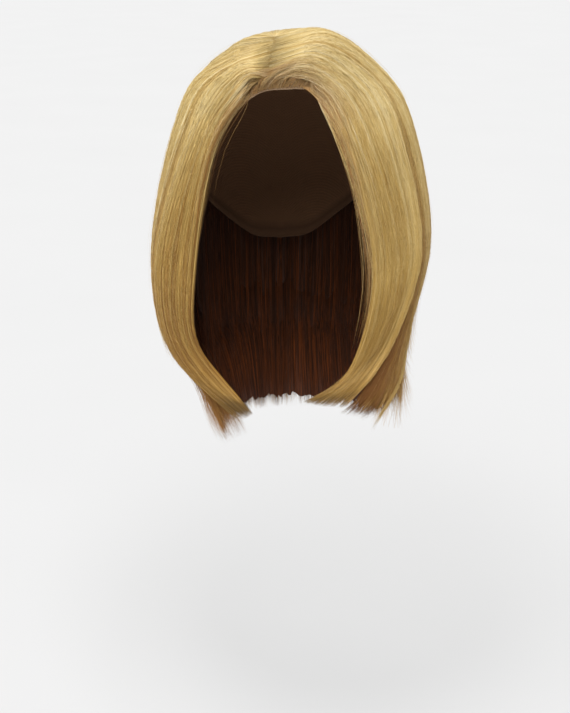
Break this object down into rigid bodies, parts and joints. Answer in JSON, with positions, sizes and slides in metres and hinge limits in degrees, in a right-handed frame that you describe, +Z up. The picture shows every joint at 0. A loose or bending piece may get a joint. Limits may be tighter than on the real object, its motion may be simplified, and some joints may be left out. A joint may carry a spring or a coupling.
{
  "type": "lace front wig",
  "caption": "Straight layered bob wig on a stretch cap, parted left of centre, with a lace hairline, front panels that sweep in under the chin, fuller sides and a longer back.",
  "frame": {"origin": "where the top of the head bears inside the cap, on the line between its two ear tabs", "axes": "+Z up out of the crown, -Y out of the face opening, +X to the right of someone who looks at the face opening"},
  "size_m": [0.2278, 0.2053, 0.35],
  "materials": {
    "cap_net": "matt stretch net",
    "lace": "fine matt lace",
    "hair": "combed hair with a soft sheen",
    "inner_hair": "combed hair with a soft sheen, darker"
  },
  "bodies": {
    "root": {"cap": "cap_net", "lace_front": "lace", "hair_front_right": "hair", "hair_side_right": "hair", "hair_front_left": "hair", "hair_side_left": "hair", "hair_back": "hair", "hair_nape": "inner_hair"}
  },
  "joints": []
}
